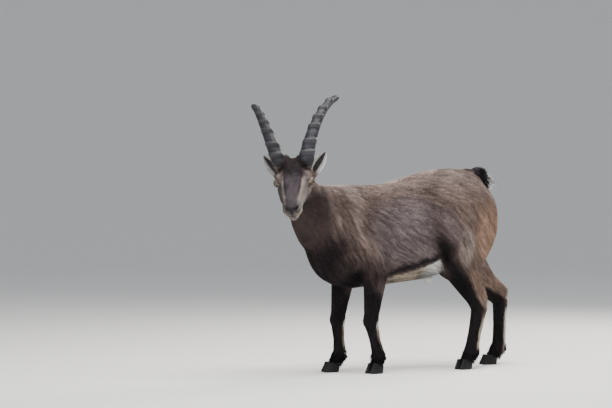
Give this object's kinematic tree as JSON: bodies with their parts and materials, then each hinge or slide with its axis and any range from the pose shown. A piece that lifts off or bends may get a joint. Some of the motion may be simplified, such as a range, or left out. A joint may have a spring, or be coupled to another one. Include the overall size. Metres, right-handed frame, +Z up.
{
  "type": "alpine ibex",
  "caption": "Life-size still model of a young male alpine ibex standing four-square on its hooves, its head turned to its left.",
  "frame": {"origin": "on the ground under the middle of the box that holds the animal", "axes": "+X runs back along the trunk, so the animal's body points to -X; +Y is the animal's right; +Z is up"},
  "size_m": [1.3968, 0.4888, 1.1906],
  "materials": {
    "coat": "short hair over solid flesh",
    "horn": "horn",
    "hoof": "horn",
    "eye": "wet gloss"
  },
  "bodies": {
    "root": {"torso": "coat", "neck": "coat", "head": "coat", "tail": "coat", "eye_left": "eye", "horn_left": "horn", "ear_left": "coat", "eye_right": "eye", "horn_right": "horn", "ear_right": "coat", "foreleg_left": "coat", "hoof_fore_left_inner": "hoof", "dewclaw_fore_left_inner": "hoof", "hoof_fore_left_outer": "hoof", "dewclaw_fore_left_outer": "hoof", "foreleg_right": "coat", "hoof_fore_right_inner": "hoof", "dewclaw_fore_right_inner": "hoof", "hoof_fore_right_outer": "hoof", "dewclaw_fore_right_outer": "hoof", "hindleg_left": "coat", "hoof_hind_left_inner": "hoof", "dewclaw_hind_left_inner": "hoof", "hoof_hind_left_outer": "hoof", "dewclaw_hind_left_outer": "hoof", "hindleg_right": "coat", "hoof_hind_right_inner": "hoof", "dewclaw_hind_right_inner": "hoof", "hoof_hind_right_outer": "hoof", "dewclaw_hind_right_outer": "hoof"}
  },
  "joints": []
}
